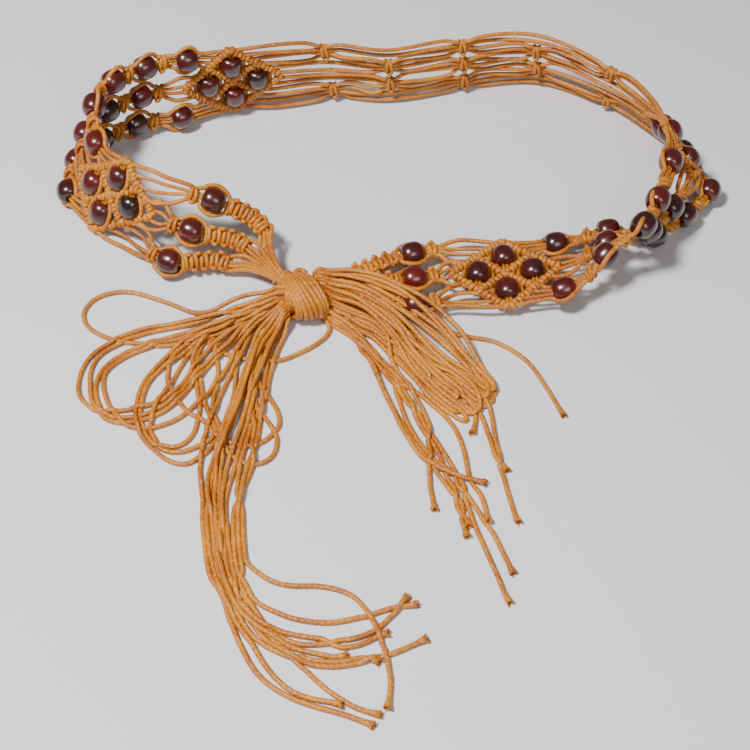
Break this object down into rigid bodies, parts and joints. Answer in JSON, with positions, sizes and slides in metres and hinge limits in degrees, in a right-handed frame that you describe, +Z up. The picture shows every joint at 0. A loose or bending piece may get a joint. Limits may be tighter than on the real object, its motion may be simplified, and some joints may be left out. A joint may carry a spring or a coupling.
{
  "type": "macrame rope belt",
  "caption": "Knotted waxed-cord waist belt with wooden beads in diamond lattices and bead chains, tied in front in a wrapped bow with long loose cord tails.",
  "frame": {"origin": "middle of the belt's footprint, on the surface it rests on", "axes": "+Z up, +Y from the tails towards the middle of the wearer's back, +X to the right as seen from the front"},
  "size_m": [0.3324, 0.377, 0.0508],
  "materials": {
    "cord": "waxed",
    "bead": "gloss lacquer"
  },
  "bodies": {
    "root": {"sinnets_left": "cord", "sinnets_right": "cord", "chain_left": "cord", "chain_right": "cord", "back_net": "cord", "lattice_front_left": "cord", "lattice_back_left": "cord", "lattice_back_right": "cord", "lattice_front_right": "cord", "wrapped_knot": "cord", "bow_and_tails_left": "cord", "bow_and_tails_right": "cord", "bead_front_left_low": "bead", "bead_front_left_high": "bead", "bead_front_left_before": "bead", "bead_front_left_after": "bead", "bead_back_left_low": "bead", "bead_back_left_high": "bead", "bead_back_left_before": "bead", "bead_back_left_after": "bead", "bead_back_right_low": "bead", "bead_back_right_high": "bead", "bead_back_right_before": "bead", "bead_back_right_after": "bead", "bead_front_right_low": "bead", "bead_front_right_high": "bead", "bead_front_right_before": "bead", "bead_front_right_after": "bead", "bead_sinnet_left_1": "bead", "bead_sinnet_left_2": "bead", "bead_sinnet_left_3": "bead", "bead_sinnet_right_1": "bead", "bead_sinnet_right_2": "bead", "bead_sinnet_right_3": "bead"}
  },
  "joints": []
}
